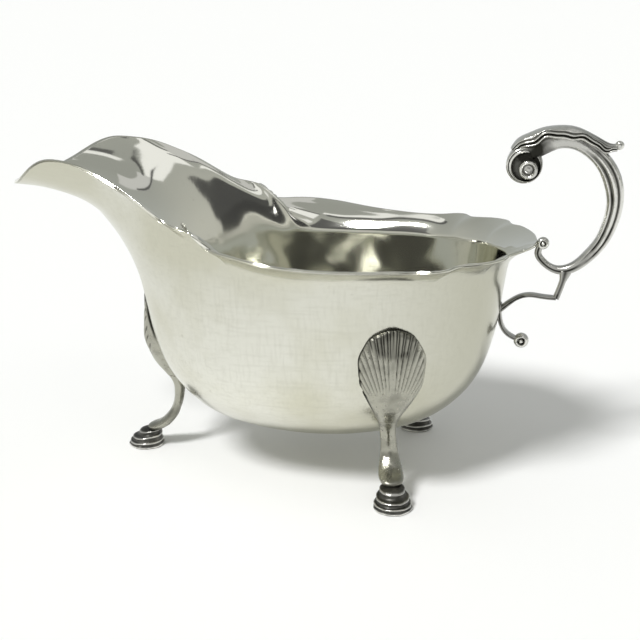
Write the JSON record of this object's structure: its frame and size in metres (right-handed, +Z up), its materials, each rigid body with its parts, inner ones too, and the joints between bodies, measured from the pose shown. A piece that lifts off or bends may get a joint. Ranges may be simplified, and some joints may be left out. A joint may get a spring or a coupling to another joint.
{
  "type": "sauce boat",
  "caption": "Silver sauce boat with a broad lip, shaped flared rim, flying leaf-capped scroll handle, and shell-headed cabriole legs on stepped hoof feet.",
  "frame": {"origin": "on the table, under the middle of the overall length, in the mirror plane; the three soles stand on Z = 0", "axes": "+Z up, +X towards the handle, -X towards the spout, mirror plane Y = 0"},
  "size_m": [0.1716, 0.0878, 0.0997],
  "materials": {
    "raised_silver": "polished, softly worn",
    "cast_silver": "polished high spots, dark recesses",
    "oxidised_silver": "tarnished, bright worn edges"
  },
  "bodies": {
    "root": {"body_shell": "raised_silver", "knee_shell_front": "cast_silver", "leg_stem_front": "cast_silver", "hoof_foot_front": "oxidised_silver", "knee_shell_right": "cast_silver", "leg_stem_right": "cast_silver", "hoof_foot_right": "oxidised_silver", "knee_shell_left": "cast_silver", "leg_stem_left": "cast_silver", "hoof_foot_left": "oxidised_silver", "handle_volute": "cast_silver", "volute_eye_right": "cast_silver", "volute_eye_left": "cast_silver", "inner_curl_knob": "cast_silver", "lower_scroll_ball": "cast_silver", "handle_scroll": "cast_silver", "handle_leaf_cap": "cast_silver", "handle_strap": "cast_silver", "lower_scroll": "cast_silver"}
  },
  "joints": []
}
